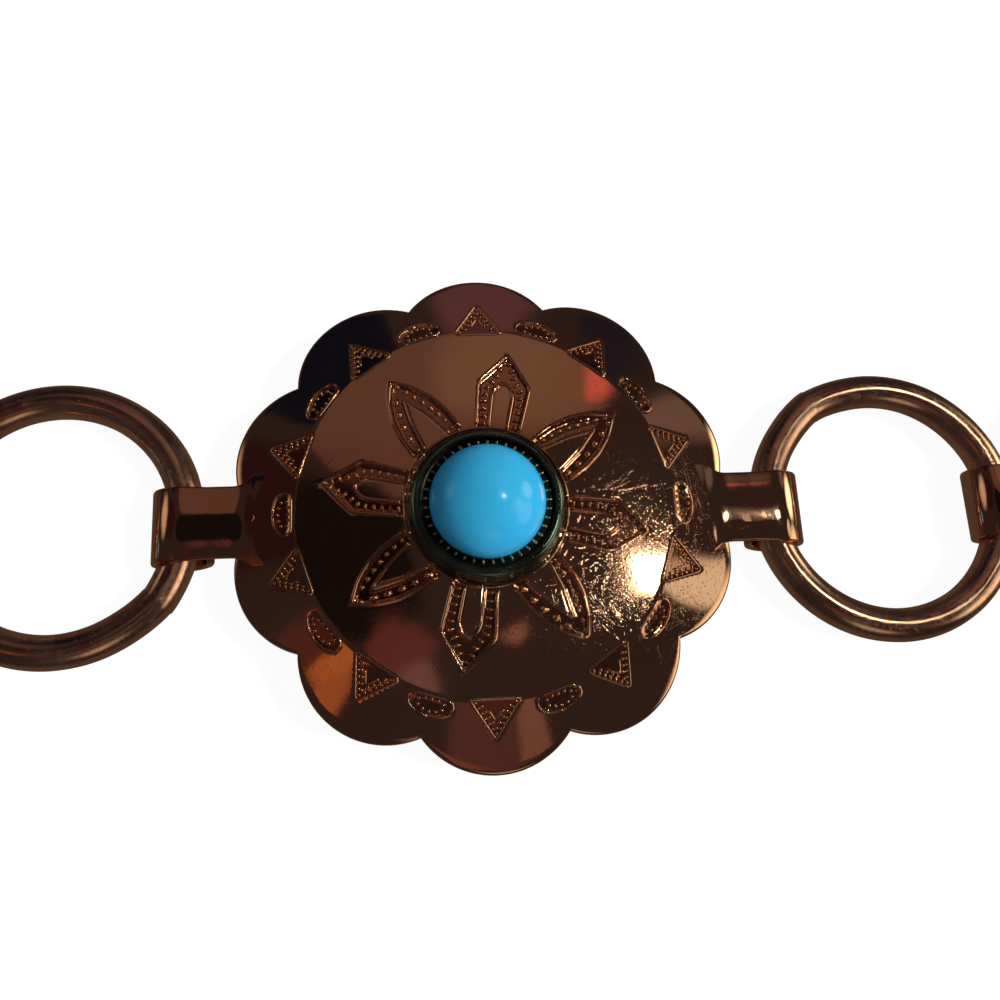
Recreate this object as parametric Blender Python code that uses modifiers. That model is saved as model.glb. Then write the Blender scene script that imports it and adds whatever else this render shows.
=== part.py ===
"""A concho belt: scalloped domed plates with a turquoise stone, joined by wire rings, and a plain hook.

It lies open and straight along X, face up, with its underside on Z = 0 and the middle of its box over
the origin. The lower side of a photograph of it, laid so, is -Y. Sizes are in metres.
"""

import math

import bmesh
import bpy
from mathutils import Vector

MM = 0.001

# The row. GAP lies between pieces that seat on each other, WIRE_PLAY round a ring's wire inside a roll
CONCHO_COUNT = 9
GAP = 0.3 * MM
WIRE_PLAY = 0.3 * MM

# The plate: a sloping rim of lobes, a crease, and a low dome with a level seat for the stone's setting
LOBE_COUNT = 10
LOBE_TIP_R = 25.4 * MM
LOBE_DEPTH = 2.6 * MM
RIM_WIDTH = 6.7 * MM
SHEET = 0.75 * MM
RIM_RISE = 1.9 * MM
DOME_RISE = 0.7 * MM
DOME_ROUNDNESS = 1.4
LOBE_STEPS = 4
DOME_STEPS = 2

# The stamped flower: raised petals round the setting, two kinds by turns
PETAL_COUNT = 8
FIRST_PETAL_DEG = -10.5
PETAL_LENGTH = 8.1 * MM
PETAL_HALF_WIDTH = 2.8 * MM
PETAL_RAISE = 0.35 * MM
# How deep a petal's block bites into the sheet, as a share of its thickness
PETAL_BITE = 0.4
# Columns: how far along the petal, and its half width there, as shares of the two sizes above
PETAL_FORMS = (
    ((0.0, 0.79), (0.58, 0.95), (1.0, 0.0)),
    ((0.0, 1.0), (0.53, 0.84), (1.0, 0.0)),
)

# The tab at each side of a plate: a level neck that curls down round a ring and back under it
TAB_WIDTH = 7.0 * MM
TAB_OVERLAP = 0.8 * MM
NECK = 4.4 * MM
ROLL_CORNERS = 8
ROLL_STEP_DEG = 36.0

# The rings, of round wire, a little wider across the belt than along it
WIRE_R = 1.75 * MM
RING_HALF_LENGTH = 12.6 * MM
RING_HALF_WIDTH = 12.7 * MM
RING_SIDES = 12

# The setting: a cup with a leaning wall
BEZEL_LIP = 1.1 * MM
BEZEL_LEAN = 0.3 * MM
BEZEL_HEIGHT = 1.5 * MM
BEZEL_FLOOR = 0.5 * MM
TURNED_SIDES = 16

# The stone: a round cabochon
STONE_R = 6.0 * MM
STONE_GIRDLE = 0.7 * MM
STONE_DOME = 4.0 * MM
# How far up the dome each row of corners stands, as an angle from the girdle
STONE_ROWS_DEG = (35.0, 63.0)

# The hook: one strip rolled over the last ring and bent back over itself
HOOK_SHANK = 15.0 * MM
HOOK_MOUTH = 4.8 * MM
HOOK_LIP = 7.5 * MM
HOOK_LIP_LIFT = 0.8 * MM
HOOK_NECK = 1.6 * MM
HOOK_STEPS = 6

# Worked out from the sizes above
NOTCH_R = LOBE_TIP_R - LOBE_DEPTH
CREASE_R = LOBE_TIP_R - RIM_WIDTH
BEZEL_TOP_R = STONE_R + GAP + BEZEL_LIP
BEZEL_BASE_R = BEZEL_TOP_R + BEZEL_LEAN
SEAT_R = BEZEL_BASE_R + GAP
WIRE_Z = SHEET + WIRE_PLAY + WIRE_R
WIRE_BOW = RING_HALF_LENGTH * (1 - math.sqrt(1 - (TAB_WIDTH / 2 / RING_HALF_WIDTH) ** 2))
ROLL_HALF_HEIGHT = WIRE_Z - SHEET / 2
ROLL_HALF_LENGTH = WIRE_R + WIRE_BOW / 2 + WIRE_PLAY + SHEET / 2
ROLL_R = NOTCH_R + NECK + ROLL_HALF_LENGTH
WIRE_X = ROLL_R - WIRE_BOW / 2
RING_X = WIRE_X + RING_HALF_LENGTH
PITCH = 2 * RING_X
# The neck's middle above the plate's own base, and the base's height when the rolls lie on Z = 0
NECK_Z = SHEET / 2 + RIM_RISE * LOBE_DEPTH / RIM_WIDTH
PLATE_Z = WIRE_Z + ROLL_HALF_HEIGHT - NECK_Z
SEAT_Z = PLATE_Z + SHEET + RIM_RISE + DOME_RISE
BEZEL_Z = SEAT_Z + GAP
STONE_Z = BEZEL_Z + BEZEL_FLOOR + GAP
HOOK_BEND_R = (HOOK_MOUTH + SHEET) / 2
HOOK_REACH = ROLL_HALF_LENGTH + HOOK_NECK + HOOK_SHANK + HOOK_BEND_R + SHEET / 2
ROW_HALF = (CONCHO_COUNT - 1) / 2 * PITCH + RING_X
RING_END = ROW_HALF + RING_HALF_LENGTH + WIRE_R
HOOK_END = ROW_HALF + RING_HALF_LENGTH - WIRE_BOW / 2 + HOOK_REACH
MIDDLE_X = (HOOK_END - RING_END) / 2


def clear_scene():
    for obj in list(bpy.data.objects):
        bpy.data.objects.remove(obj, do_unlink=True)


def collection(name):
    made = bpy.data.collections.new(name)
    bpy.context.scene.collection.children.link(made)
    return made


def metal(name, color, roughness):
    made = bpy.data.materials.new(name)
    made.use_nodes = True
    shader = made.node_tree.nodes["Principled BSDF"]
    shader.inputs["Base Color"].default_value = (*color, 1)
    shader.inputs["Metallic"].default_value = 1
    shader.inputs["Roughness"].default_value = roughness
    return made


def turquoise():
    made = metal("turquoise", (0.03, 0.47, 0.72), 0.12)
    made.node_tree.nodes["Principled BSDF"].inputs["Metallic"].default_value = 0
    return made


def mesh_object(name, bm, into):
    mesh = bpy.data.meshes.new(name)
    bm.to_mesh(mesh)
    bm.free()
    obj = bpy.data.objects.new(name, mesh)
    into.objects.link(obj)
    return obj


def as_guide(obj):
    obj.hide_render = True
    obj.display_type = "WIRE"
    return obj


def finished_mesh(obj, name, material, sharp_deg=35):
    """The object's mesh with its modifiers applied. The object itself is removed."""
    graph = bpy.context.evaluated_depsgraph_get()
    mesh = bpy.data.meshes.new_from_object(obj.evaluated_get(graph))
    mesh.name = name
    bpy.data.objects.remove(obj, do_unlink=True)
    mesh.materials.clear()
    mesh.materials.append(material)
    mesh.shade_smooth()
    mesh.set_sharp_from_angle(angle=math.radians(sharp_deg))
    return mesh


def solidify(obj, thickness, offset):
    wall = obj.modifiers.new("sheet", "SOLIDIFY")
    wall.thickness = thickness
    wall.offset = offset
    wall.use_even_offset = True


def top_height(radius):
    """The height of the plate's upper face at a distance from its centre."""
    crease_z = SHEET + RIM_RISE
    if radius >= CREASE_R:
        return SHEET + RIM_RISE * (LOBE_TIP_R - radius) / (LOBE_TIP_R - CREASE_R)
    left = max(0, (radius - SEAT_R) / (CREASE_R - SEAT_R))
    return crease_z + DOME_RISE * (1 - left**DOME_ROUNDNESS)


def on_plate(x, y, lift=0):
    return Vector((x, y, top_height(math.hypot(x, y)) + lift))


def turned(x, y, angle):
    c, s = math.cos(angle), math.sin(angle)
    return x * c - y * s, x * s + y * c


def lobe_outline():
    """Corners of the scalloped edge, from the notch at +X. A lobe is an arc from notch to notch."""
    half = math.pi / LOBE_COUNT
    notch_x, notch_y = NOTCH_R * math.cos(half), NOTCH_R * math.sin(half)
    depth = LOBE_TIP_R - notch_x
    arc_r = (notch_y**2 + depth**2) / (2 * depth)
    arc_x = LOBE_TIP_R - arc_r
    sweep = math.atan2(notch_y, notch_x - arc_x)
    corners = []
    for lobe in range(LOBE_COUNT):
        for step in range(LOBE_STEPS):
            turn = sweep * (2 * step / LOBE_STEPS - 1)
            x, y = arc_x + arc_r * math.cos(turn), arc_r * math.sin(turn)
            corners.append(turned(x, y, (2 * lobe + 1) * half))
    return corners


def circle(radius, count):
    return [turned(radius, 0, math.tau * i / count) for i in range(count)]


def stitch(bm, outer, inner):
    """Fills the band between two closed rows of corners that start at one angle and run the same way."""
    i = j = 0
    while i < len(outer) or j < len(inner):
        a, b = outer[i % len(outer)], inner[j % len(inner)]
        if (i + 1) * len(inner) <= (j + 1) * len(outer):
            i += 1
            bm.faces.new((a, outer[i % len(outer)], b))
        else:
            j += 1
            bm.faces.new((a, inner[j % len(inner)], b))


def plate_sheet(into):
    bm = bmesh.new()
    dome_r = (CREASE_R + SEAT_R) / 2
    rows = (
        lobe_outline(),
        circle(CREASE_R, DOME_STEPS * LOBE_COUNT),
        circle(dome_r, DOME_STEPS * LOBE_COUNT),
        circle(SEAT_R, DOME_STEPS * LOBE_COUNT),
    )
    corners = [[bm.verts.new(on_plate(x, y)) for x, y in row] for row in rows]
    for outer, inner in zip(corners, corners[1:]):
        stitch(bm, outer, inner)
    bm.faces.new(corners[-1])
    sheet = mesh_object("plate_sheet", bm, into)
    solidify(sheet, SHEET, -1)
    return sheet


def petals(into):
    """All petals of the flower, each a closed block that bites into the sheet and stands above it."""
    bm = bmesh.new()
    for petal in range(PETAL_COUNT):
        angle = math.radians(FIRST_PETAL_DEG) + math.tau * petal / PETAL_COUNT
        form = PETAL_FORMS[petal % len(PETAL_FORMS)]
        right = [(along, -half) for along, half in form]
        left = [(along, half) for along, half in reversed(form[:-1])]
        outline = [
            turned(SEAT_R + along * PETAL_LENGTH, half * PETAL_HALF_WIDTH, angle)
            for along, half in right + left
        ]
        top = [bm.verts.new(on_plate(x, y, PETAL_RAISE)) for x, y in outline]
        low = [bm.verts.new(on_plate(x, y, -PETAL_BITE * SHEET)) for x, y in outline]
        bm.faces.new(top)
        bm.faces.new(reversed(low))
        for i in range(len(outline)):
            after = (i + 1) % len(outline)
            bm.faces.new((low[i], low[after], top[after], top[i]))
    return as_guide(mesh_object("petals", bm, into))


def strip(name, path, into):
    """A sheet strip as wide as a tab, bent along a path of (x, z) points at the middle of its thickness."""
    bm = bmesh.new()
    half = TAB_WIDTH / 2
    rungs = [(bm.verts.new((x, half, z)), bm.verts.new((x, -half, z))) for x, z in path]
    for (a, b), (c, d) in zip(rungs, rungs[1:]):
        bm.faces.new((a, b, d, c))
    bent = mesh_object(name, bm, into)
    solidify(bent, SHEET, 0)
    return bent


def roll(center_x, way):
    """Corners of a strip bent round a ring's wire. Way 1 bends it down from above, -1 up from below."""
    # The flats touch the round at their middles, so the corners stand a little outside it
    outside = 1 / math.cos(math.radians(ROLL_STEP_DEG / 2))
    corners = []
    for step in range(ROLL_CORNERS):
        turn = math.radians(90 - ROLL_STEP_DEG * (step + 0.5))
        x = center_x + ROLL_HALF_LENGTH * outside * math.cos(turn)
        z = WIRE_Z + way * ROLL_HALF_HEIGHT * outside * math.sin(turn)
        corners.append((x, z))
    return corners


def tab(name, side, into):
    path = [(NOTCH_R - TAB_OVERLAP, PLATE_Z + NECK_Z), *roll(ROLL_R, 1)]
    bent = strip(name, path, into)
    bent.location.z = -PLATE_Z
    bent.rotation_euler.z = 0 if side > 0 else math.pi
    return as_guide(bent)


def concho_mesh(material, into):
    sheet = plate_sheet(into)
    added = [tab("tab_right", 1, into), tab("tab_left", -1, into), petals(into)]
    for piece in added:
        union = sheet.modifiers.new(piece.name, "BOOLEAN")
        union.operation = "UNION"
        union.solver = "EXACT"
        union.object = piece
    bpy.context.view_layer.update()
    mesh = finished_mesh(sheet, "concho", material)
    for piece in added:
        bpy.data.objects.remove(piece, do_unlink=True)
    return mesh


def turned_mesh(name, profile, material, into):
    """A solid of revolution round Z. The profile runs down its outer side, from the axis to the axis."""
    bm = bmesh.new()
    corners = [bm.verts.new((x, 0, z)) for x, z in profile]
    for a, b in zip(corners, corners[1:]):
        bm.edges.new((a, b))
    solid = mesh_object(name, bm, into)
    screw = solid.modifiers.new("turn", "SCREW")
    screw.steps = screw.render_steps = TURNED_SIDES
    screw.use_merge_vertices = True
    screw.merge_threshold = 1e-5
    return finished_mesh(solid, name, material)


def bezel_mesh(material, into):
    wall_r = BEZEL_TOP_R - BEZEL_LIP
    profile = (
        (0, BEZEL_FLOOR),
        (wall_r, BEZEL_FLOOR),
        (wall_r, BEZEL_HEIGHT),
        (BEZEL_TOP_R, BEZEL_HEIGHT),
        (BEZEL_BASE_R, 0),
        (0, 0),
    )
    return turned_mesh("bezel", profile, material, into)


def stone_mesh(material, into):
    dome = [
        (STONE_R * math.cos(math.radians(up)), STONE_GIRDLE + STONE_DOME * math.sin(math.radians(up)))
        for up in reversed(STONE_ROWS_DEG)
    ]
    top = (0, STONE_GIRDLE + STONE_DOME)
    profile = (top, *dome, (STONE_R, STONE_GIRDLE), (STONE_R, 0), (0, 0))
    return turned_mesh("stone", profile, material, into)


def ring_mesh(material, into):
    curve = bpy.data.curves.new("ring", "CURVE")
    curve.dimensions = "3D"
    curve.bevel_depth = WIRE_R
    curve.bevel_resolution = 1
    spline = curve.splines.new("POLY")
    spline.points.add(RING_SIDES - 1)
    spline.use_cyclic_u = True
    # The flat sides touch the oval at their middles, so the stretch of wire inside each roll is straight
    outside = 1 / math.cos(math.pi / RING_SIDES)
    for i, point in enumerate(spline.points):
        x, y = turned(outside, 0, math.tau * (i + 0.5) / RING_SIDES)
        point.co = (RING_HALF_LENGTH * x, RING_HALF_WIDTH * y, 0, 1)
    wire = bpy.data.objects.new("ring", curve)
    into.objects.link(wire)
    return finished_mesh(wire, "ring", material, 80)


def hook_mesh(material, into):
    """The hook for a ring whose wire is at the origin's height. It reaches towards -X."""
    lying = SHEET / 2
    start = -ROLL_HALF_LENGTH - HOOK_NECK
    bend_x = start - HOOK_SHANK
    path = list(reversed(roll(0, -1)))
    for step in range(HOOK_STEPS + 1):
        turn = math.pi * step / HOOK_STEPS
        path.append((bend_x - HOOK_BEND_R * math.sin(turn), lying + HOOK_BEND_R * (1 - math.cos(turn))))
    lip_z = lying + 2 * HOOK_BEND_R
    path.append((bend_x + HOOK_LIP, lip_z + HOOK_LIP_LIFT))
    return finished_mesh(strip("hook", path, into), "hook", material)


def place(name, mesh, x, z, into):
    obj = bpy.data.objects.new(name, mesh)
    obj.location = (x, 0, z)
    into.objects.link(obj)


def main():
    clear_scene()
    belt = collection("concho_belt")
    rose_gold = metal("rose_gold_plating", (0.52, 0.27, 0.15), 0.16)
    wire_gold = metal("ring_plating", (0.46, 0.27, 0.13), 0.26)
    dark_brass = metal("bezel_plating", (0.16, 0.13, 0.06), 0.22)
    concho = concho_mesh(rose_gold, belt)
    bezel = bezel_mesh(dark_brass, belt)
    stone = stone_mesh(turquoise(), belt)
    ring = ring_mesh(wire_gold, belt)
    for i in range(CONCHO_COUNT):
        x = MIDDLE_X + (i - (CONCHO_COUNT - 1) / 2) * PITCH
        place(f"concho_{i + 1}", concho, x, PLATE_Z, belt)
        place(f"bezel_{i + 1}", bezel, x, BEZEL_Z, belt)
        place(f"stone_{i + 1}", stone, x, STONE_Z, belt)
    for i in range(CONCHO_COUNT + 1):
        place(f"ring_{i + 1}", ring, MIDDLE_X - ROW_HALF + i * PITCH, WIRE_Z, belt)
    wire_at_hook = MIDDLE_X - ROW_HALF - RING_HALF_LENGTH + WIRE_BOW / 2
    place("hook", hook_mesh(rose_gold, belt), wire_at_hook, 0, belt)


main()
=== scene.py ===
"""The looks of a concho belt: stamped scalloped plates in worn rose-gold plating, turquoise stones in
toothed cups, round wire rings and a plain hook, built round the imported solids. Sizes are in metres."""

import math

import bpy
import numpy as np
from mathutils import Matrix, Vector


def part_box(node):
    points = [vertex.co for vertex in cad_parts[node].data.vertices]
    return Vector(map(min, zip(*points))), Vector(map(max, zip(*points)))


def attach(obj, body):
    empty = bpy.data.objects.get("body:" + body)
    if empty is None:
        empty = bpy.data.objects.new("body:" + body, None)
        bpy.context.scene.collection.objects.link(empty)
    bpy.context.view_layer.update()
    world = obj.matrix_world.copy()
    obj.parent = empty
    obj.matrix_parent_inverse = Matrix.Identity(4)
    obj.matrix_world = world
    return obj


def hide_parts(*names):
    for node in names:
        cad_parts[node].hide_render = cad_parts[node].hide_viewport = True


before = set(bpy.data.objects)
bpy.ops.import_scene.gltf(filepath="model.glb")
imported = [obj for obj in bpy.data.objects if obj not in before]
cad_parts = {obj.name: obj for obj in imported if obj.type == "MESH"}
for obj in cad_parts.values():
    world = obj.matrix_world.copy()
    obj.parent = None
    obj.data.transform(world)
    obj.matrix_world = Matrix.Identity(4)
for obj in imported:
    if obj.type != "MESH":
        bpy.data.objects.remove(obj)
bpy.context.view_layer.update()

MM = 0.001
# What the solids keep clear between two pieces
GAP = 0.3 * MM

# The plate, as the solids have it
LOBE_COUNT = 10
LOBE_DEG = 360 / LOBE_COUNT
LOBE_DEPTH = 2.6 * MM
RIM_WIDTH = 6.7 * MM
SHEET = 0.75 * MM
RIM_RISE = 1.9 * MM
DOME_RISE = 0.7 * MM
DOME_ROUNDNESS = 1.4
EDGE_ROUND = 0.28 * MM
# The slow waves of pressed sheet. Columns: length and depth, in millimetres
RIPPLES = ((34, 0.030), (21, 0.022), (15, 0.016), (11, 0.010), (7.5, 0.005))

# The mesh of one plate
PLATE_SPOKES = 400
FLOWER_RINGS = 38
RIM_RINGS = 21

# The stamped flower: two kinds of petal by turns. Columns: how far along the petal, half width there
PETAL_COUNT = 8
FIRST_PETAL_DEG = -10.5
PETAL_FOOT_R = 8.1 * MM
ARROW_EDGE = ((0.0, 2.2), (2.5, 2.45), (4.7, 2.65), (8.1, 0.0))
ARROW_ARCH = ((0.0, 0.92), (3.4, 1.08), (4.3, 0.85), (5.0, 0.0))
LEAF_EDGE = ((0.0, 2.75), (2.2, 2.75), (4.2, 2.35), (6.2, 1.45), (8.0, 0.0))
LEAF_OPENING = ((0.0, 1.5), (2.8, 1.0), (5.7, 0.0))
BAND_DEPTH = 0.22 * MM
BAND_RAMP = 0.28 * MM

# The stamps of the rim: a triangle on each lobe, a half moon at each notch
TRIANGLE_FOOT_R = 18.45 * MM
TRIANGLE_HEIGHT = 3.8 * MM
TRIANGLE_HALF_WIDTH = 2.5 * MM
MOON_R = 19.6 * MM
MOON_HALF_LENGTH = 2.2 * MM
MOON_HALF_WIDTH = 1.12 * MM
MOON_FLAT = 0.62
STAMP_DEPTH = 0.11 * MM
STAMP_RAMP = 0.22 * MM

# Raised lines and beads on the stamps
FLOWER_LINE_R = 0.19 * MM
STAMP_LINE_R = 0.13 * MM
LINE_STEP = 0.42 * MM
LINE_SIDES = 5
PETAL_LINE_LIFT = 0.07 * MM
SEAT_LINE_LIFT = 0.05 * MM
DOT_LIFT = 0.02 * MM
DOT_STEP = 0.2 * MM
# Columns: kind, pitch, then its half sizes along, across and up, in millimetres
BEAD_KINDS = (
    ("rib", 0.74, (0.21, 0.46, 0.26)),
    ("rope", 1.2, (0.52, 0.38, 0.24)),
    ("dash", 0.9, (0.36, 0.26, 0.22)),
    ("dot", 0.58, (0.21, 0.21, 0.2)),
)

# The tab at each side of a plate, and the wire that it curls down round
TAB_WIDTH = 7.2 * MM
TAB_FLARE = 1.1 * MM
TAB_FLARE_RUN = 1.9 * MM
TAB_UNDER_PLATE = 1.6 * MM
TAB_FOOT_LIFT = 0.3 * MM
ROLL_FLARE = 0.15 * MM
STRIP_ROUND = 0.26 * MM
# How far a plate's tabs lie to one side of the belt's middle line
TAB_OFF_LINE = 0.3 * MM
NECK = 4.4 * MM
WIRE_PLAY = 0.3 * MM
WIRE_R = 1.75 * MM
WIRE_SIDES = 20
RING_HALF_LENGTH = 12.6 * MM
RING_HALF_WIDTH = 12.7 * MM
# The wire's two ends run a little into each other, so no slit shows where they meet
RING_OVERLAP = 0.014
RING_POINTS = 145
SEAM_REACH = math.radians(22)
SEAM_CORNER = 0.3 * MM
SEAM_STEP = 0.05 * MM
# Where each ring has its seam, in degrees, from ring_1 on
SEAM_DEGS = (120, 300, 35, 210, -39, 121, 75, 330, 160, 65)
# How far the rings lie off the belt's middle line, taken in turn from ring_6 on
RING_LIES = (0.0, 0.35 * MM, -0.3 * MM, 0.2 * MM, -0.15 * MM, 0.7 * MM)

# The setting and its stone
CUP_LIP = 0.95 * MM
CUP_LEAN = 0.3 * MM
CUP_ROUND = 0.5 * MM
CUP_FLOOR = 0.5 * MM
CUP_PLAY = 0.06 * MM
CUP_STEPS = 96
TOOTH_COUNT = 42
TOOTH_OUT = 0.34 * MM
TOOTH_DOWN = 0.2 * MM
TOOTH_SIZE = (0.18 * MM, 0.38 * MM, 0.34 * MM)
STONE_GIRDLE = 0.7 * MM
STONE_STEPS = 64
# The stone is drawn this much smaller in radius than its solid, to leave room for the teeth
STONE_SHOWN_LESS = 0.38 * MM

# Where the middle of each dome has been rubbed most, and how far its pits and scratches spread
RUBBED_SPOT = (12.5 * MM, -5.5 * MM)
RUBBED_REACH = 8.0 * MM
RUBBED_LEAST = 0.1

# Hair scratches: their directions, how far drawn out, where they lie in the noise, and how wide
SCRATCH_DEGS = (25, 78, 131, 166)
SCRATCH_STRETCH = 0.08
SCRATCH_LEVEL = 0.66
SCRATCH_WIDTH = 0.006

# The hook
HOOK_SHANK = 15.0 * MM
HOOK_MOUTH = 4.8 * MM
HOOK_LIP = 7.5 * MM
HOOK_LIP_LIFT = 0.8 * MM
HOOK_NECK = 1.6 * MM
HOOK_TIP = 1.6 * MM
HOOK_TIP_NARROWED = 1.1 * MM

# The photograph's view: the camera's place from the middle plate's base, its turn and its lens
CAMERA_FROM_PLATE = (-6.905 * MM, -24.8 * MM, 97.468 * MM)
CAMERA_TURN_DEG = (15.241, -4.217, -2.899)
CAMERA_LENS = 36.06


def count_of(kind):
    return sum(name.startswith(kind + "_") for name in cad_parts)


def box_of(node):
    low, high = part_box(node)
    return Vector(low), Vector(high)


def middle_of(node):
    low, high = box_of(node)
    return (low + high) / 2


def half_of(node):
    low, high = box_of(node)
    return (high - low) / 2


CONCHO_COUNT = count_of("concho")
RING_COUNT = count_of("ring")
LOBE_TIP_R = half_of("concho_1").y
NOTCH_R = LOBE_TIP_R - LOBE_DEPTH
CREASE_R = LOBE_TIP_R - RIM_WIDTH
CUP_BASE_R = half_of("bezel_1").x
CUP_BASE_Z = box_of("bezel_1")[0].z
CUP_HEIGHT = 2 * half_of("bezel_1").z
STONE_R = half_of("stone_1").x
STONE_BASE_Z = box_of("stone_1")[0].z
STONE_TOP_Z = box_of("stone_1")[1].z
STONE_SHOWN_R = STONE_R - STONE_SHOWN_LESS
SEAT_R = CUP_BASE_R + GAP
WIRE_Z = middle_of("ring_1").z
WIRE_BOW = RING_HALF_LENGTH * (1 - math.sqrt(1 - (TAB_WIDTH / 2 / RING_HALF_WIDTH) ** 2))
ROLL_HALF_HEIGHT = WIRE_Z - SHEET / 2
ROLL_HALF_LENGTH = WIRE_R + WIRE_BOW / 2 + WIRE_PLAY + SHEET / 2
ROLL_R = NOTCH_R + NECK + ROLL_HALF_LENGTH
# The neck's middle height, and that of the plate's own base, which lies clear of the floor
NECK_Z = WIRE_Z + ROLL_HALF_HEIGHT
PLATE_Z = NECK_Z - SHEET / 2 - RIM_RISE * LOBE_DEPTH / RIM_WIDTH


def petal_deg(petal):
    return FIRST_PETAL_DEG + 360 / PETAL_COUNT * petal


def smooth(value, width):
    share = np.clip(value / width, 0, 1)
    return share * share * (3 - 2 * share)


def half_width(form, along):
    table = np.array(form) * MM
    return np.interp(along, table[:, 0], table[:, 1], right=-1.0 * MM)


def to_local(x, y, degrees, foot_r):
    """Coordinates along and across a stamp whose foot is at a distance from the plate's centre."""
    turn = math.radians(degrees)
    along = x * math.cos(turn) + y * math.sin(turn) - foot_r
    across = -x * math.sin(turn) + y * math.cos(turn)
    return along, across


def to_plate(along, across, degrees, foot_r):
    turn = math.radians(degrees)
    out = along + foot_r
    return out * math.cos(turn) - across * math.sin(turn), out * math.sin(turn) + across * math.cos(turn)


def crown(radius):
    """Height of the plate's upper face without its stamps: a low dome, a crease and a sloping rim."""
    crease_z = PLATE_Z + SHEET + RIM_RISE
    rim = crease_z - RIM_RISE * (radius - CREASE_R) / RIM_WIDTH
    left = np.clip((radius - SEAT_R) / (CREASE_R - SEAT_R), 0, None)
    dome = crease_z + DOME_RISE * (1 - left**DOME_ROUNDNESS)
    return np.where(radius < CREASE_R, dome, rim)


def petal_band(along, across, edge, opening):
    inside = smooth(half_width(edge, along) - abs(across), BAND_RAMP) * smooth(along + 0.4 * MM, BAND_RAMP)
    hole = smooth(half_width(opening, along) - abs(across) + BAND_RAMP * 0.5, BAND_RAMP)
    return inside * (1 - hole)


def sunk(x, y):
    """How far each point is down in the stamps, from 0 to 1 of their depth: flower bands, rim stamps."""
    bands = np.zeros_like(x)
    for petal in range(PETAL_COUNT):
        along, across = to_local(x, y, petal_deg(petal), PETAL_FOOT_R)
        forms = (LEAF_EDGE, LEAF_OPENING) if petal % 2 else (ARROW_EDGE, ARROW_ARCH)
        bands = np.maximum(bands, petal_band(along, across, *forms))
    stamps = np.zeros_like(x)
    for lobe in range(LOBE_COUNT):
        along, across = to_local(x, y, LOBE_DEG * (lobe + 0.5), TRIANGLE_FOOT_R)
        side = (TRIANGLE_HALF_WIDTH * (1 - along / TRIANGLE_HEIGHT) - abs(across)) * 0.84
        stamps = np.maximum(stamps, smooth(np.minimum(side, along), STAMP_RAMP))
        along, across = to_local(x, y, LOBE_DEG * lobe, MOON_R)
        oval = 1 - np.hypot(along / MOON_HALF_WIDTH, across / MOON_HALF_LENGTH)
        flat = along / MOON_HALF_WIDTH + MOON_FLAT
        stamps = np.maximum(stamps, smooth(np.minimum(oval, flat) * MOON_HALF_WIDTH, STAMP_RAMP))
    return bands, stamps


def ripple(x, y):
    """The slow unevenness of pressed sheet, from a few fixed waves."""
    chance = np.random.default_rng(7)
    height = np.zeros_like(x)
    for length, depth in RIPPLES:
        for _ in range(2):
            turn = chance.uniform(0, math.tau)
            phase = chance.uniform(0, math.tau)
            run = (x * math.cos(turn) + y * math.sin(turn)) / (length * MM)
            height += depth * MM * np.sin(math.tau * run + phase)
    return height


def face_height(x, y):
    """Height of the stamped upper face at each point, and how deep in a stamp the point is."""
    bands, stamps = sunk(x, y)
    flat = crown(np.hypot(x, y)) + ripple(x, y)
    return flat - BAND_DEPTH * bands - STAMP_DEPTH * stamps, np.maximum(bands, stamps)


def lobe_edge(turn):
    """Distance from the centre to the scalloped edge, at angles from the notch at +X."""
    half = math.pi / LOBE_COUNT
    notch_x = NOTCH_R * math.cos(half)
    notch_y = NOTCH_R * math.sin(half)
    depth = LOBE_TIP_R - notch_x
    arc_r = (notch_y**2 + depth**2) / (2 * depth)
    arc_x = LOBE_TIP_R - arc_r
    off = np.mod(turn, 2 * half) - half
    return arc_x * np.cos(off) + np.sqrt(arc_r**2 - (arc_x * np.sin(off)) ** 2)


def ring_faces(rows, steps):
    """Triangles between rows of points that each close on themselves."""
    row, step = np.meshgrid(np.arange(rows - 1), np.arange(steps), indexing="ij")
    after = (step + 1) % steps
    a = (row * steps + step).ravel()
    b = (row * steps + after).ravel()
    c = ((row + 1) * steps + after).ravel()
    d = ((row + 1) * steps + step).ravel()
    return np.concatenate([np.stack([a, d, c], 1), np.stack([a, c, b], 1)])


def lid(first, steps, tip, outward):
    """A fan from a row that starts at one index to a single point."""
    step = np.arange(steps)
    after = (step + 1) % steps
    fan = np.stack([np.full(steps, tip), first + step, first + after], 1)
    return fan if outward else fan[:, ::-1]


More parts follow.
